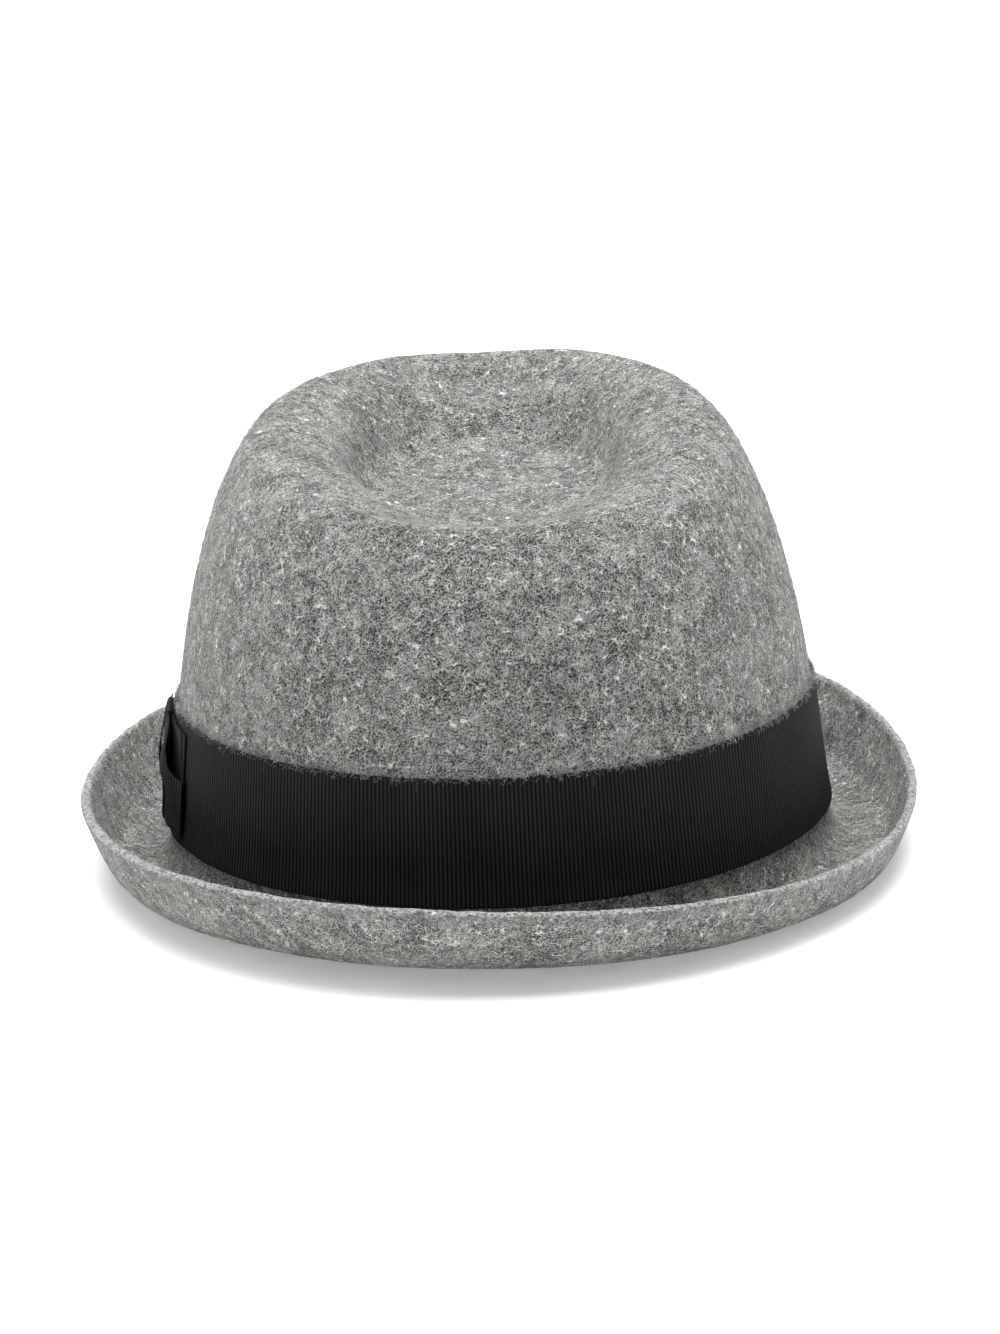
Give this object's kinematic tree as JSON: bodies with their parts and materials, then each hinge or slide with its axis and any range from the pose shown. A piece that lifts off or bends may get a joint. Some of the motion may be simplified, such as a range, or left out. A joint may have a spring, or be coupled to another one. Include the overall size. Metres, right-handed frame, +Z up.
{
  "type": "fedora hat",
  "caption": "Short-brimmed grey felt fedora (trilby) with a teardrop dent, a turned-up brim, a dark ribbed band with a flat side bow, sweatband and lining.",
  "frame": {"origin": "middle of the hat's box on the surface that the brim rests on", "axes": "+Z up through the crown, +X to the wearer's left (the bow's side), -Y to the wearer's front"},
  "size_m": [0.2204, 0.2762, 0.1195],
  "materials": {
    "felt": "marled wool felt, matt with a short nap",
    "ribbon": "ribbed grosgrain, low sheen",
    "sweat_leather": "smooth dark leather, satin",
    "reed_plastic": "matt",
    "lining_cloth": "satin weave, soft sheen",
    "piping_cloth": "twill",
    "trim_ribbon": "narrow satin ribbon",
    "label_cloth": "woven tape, matt",
    "dark_thread": "twisted thread",
    "light_thread": "twisted thread"
  },
  "bodies": {
    "hat": {"felt_body": "felt", "hat_band": "ribbon", "bow_backing": "ribbon", "bow_loop_rear": "ribbon", "bow_loop_front": "ribbon", "bow_keeper": "ribbon", "sweatband": "sweat_leather", "sweatband_reed": "reed_plastic", "lining_side": "lining_cloth", "lining_tip": "lining_cloth", "lining_piping": "piping_cloth", "sweatband_bow": "trim_ribbon", "size_label": "label_cloth", "ribbon_tacks": "dark_thread", "sweatband_stitches": "light_thread"},
    "care_label": {"care_label": "label_cloth"}
  },
  "joints": [
    {"name": "care_label_flap", "type": "hinge", "parent": "hat", "child": "care_label", "pos_m": [0.0389, 0.07987, 0.0357], "axis": [-0.8132, 0.582, 0.0005], "range_deg": [0, 100]}
  ]
}
